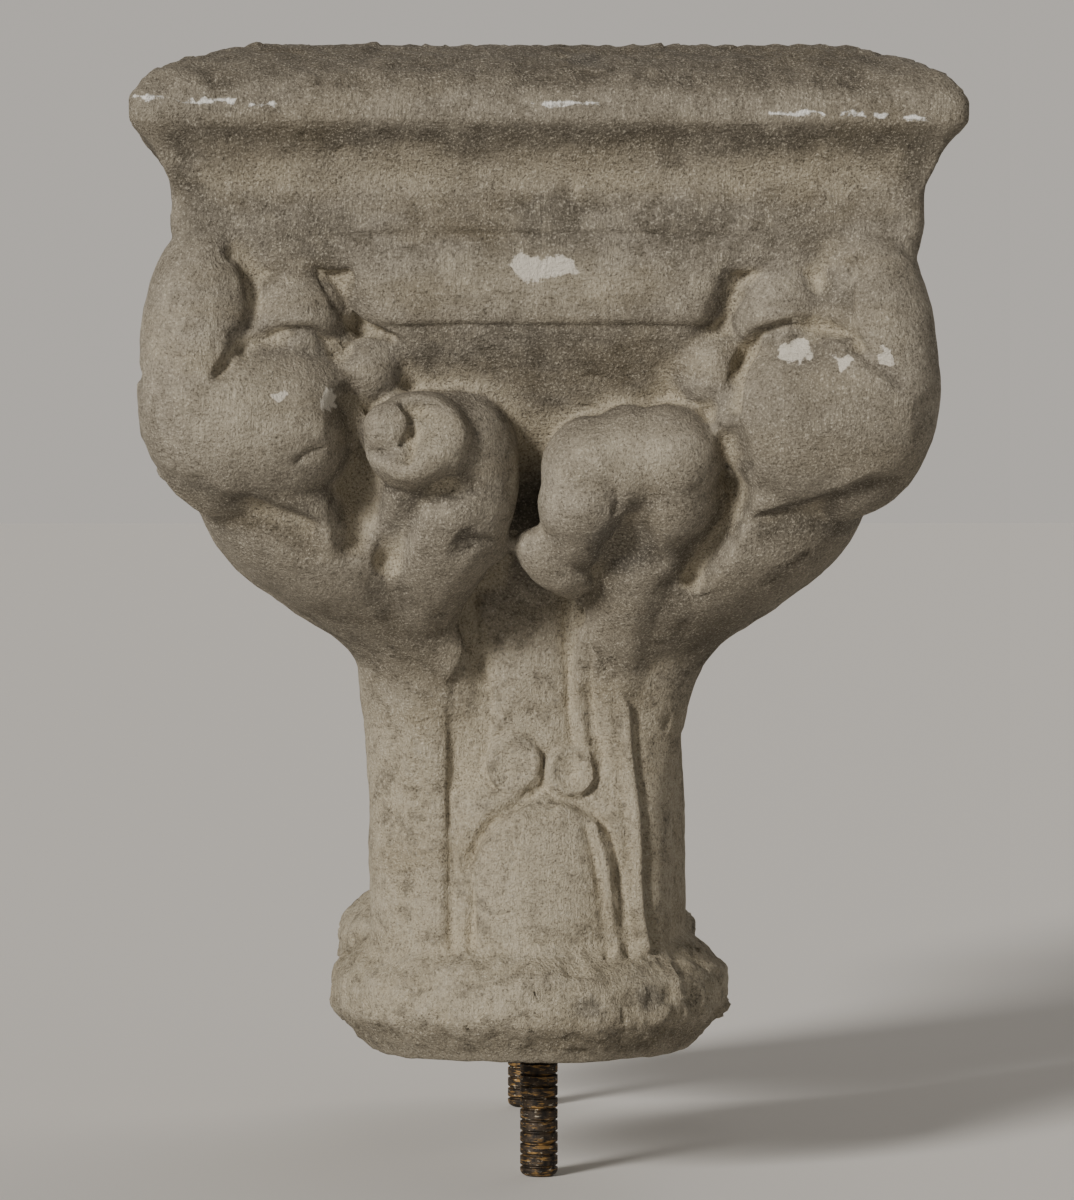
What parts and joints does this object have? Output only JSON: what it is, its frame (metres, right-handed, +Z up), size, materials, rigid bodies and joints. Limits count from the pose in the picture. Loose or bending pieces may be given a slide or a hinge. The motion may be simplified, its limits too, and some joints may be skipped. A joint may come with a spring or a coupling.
{
  "type": "double capital",
  "caption": "Carved stone double capital for twin columns: moulded slab over two leaf-carved bells with round necks, and a threaded steel rod out of the foot of each neck.",
  "frame": {"origin": "midway between the two necks, on the bed plane that sits on the column shafts", "axes": "+Z up to the top bed, +Y from the front neck to the rear neck along the slab's length, +X to the right as seen from the front end"},
  "size_m": [0.31, 0.52, 0.44],
  "materials": {
    "stone": "weathered fine-grained limestone, matt, with chips and pale plaster repairs",
    "steel": "darkened threaded rod with rust-brown rings"
  },
  "bodies": {
    "root": {"capital": "stone", "front_rod": "steel", "rear_rod": "steel"}
  },
  "joints": []
}
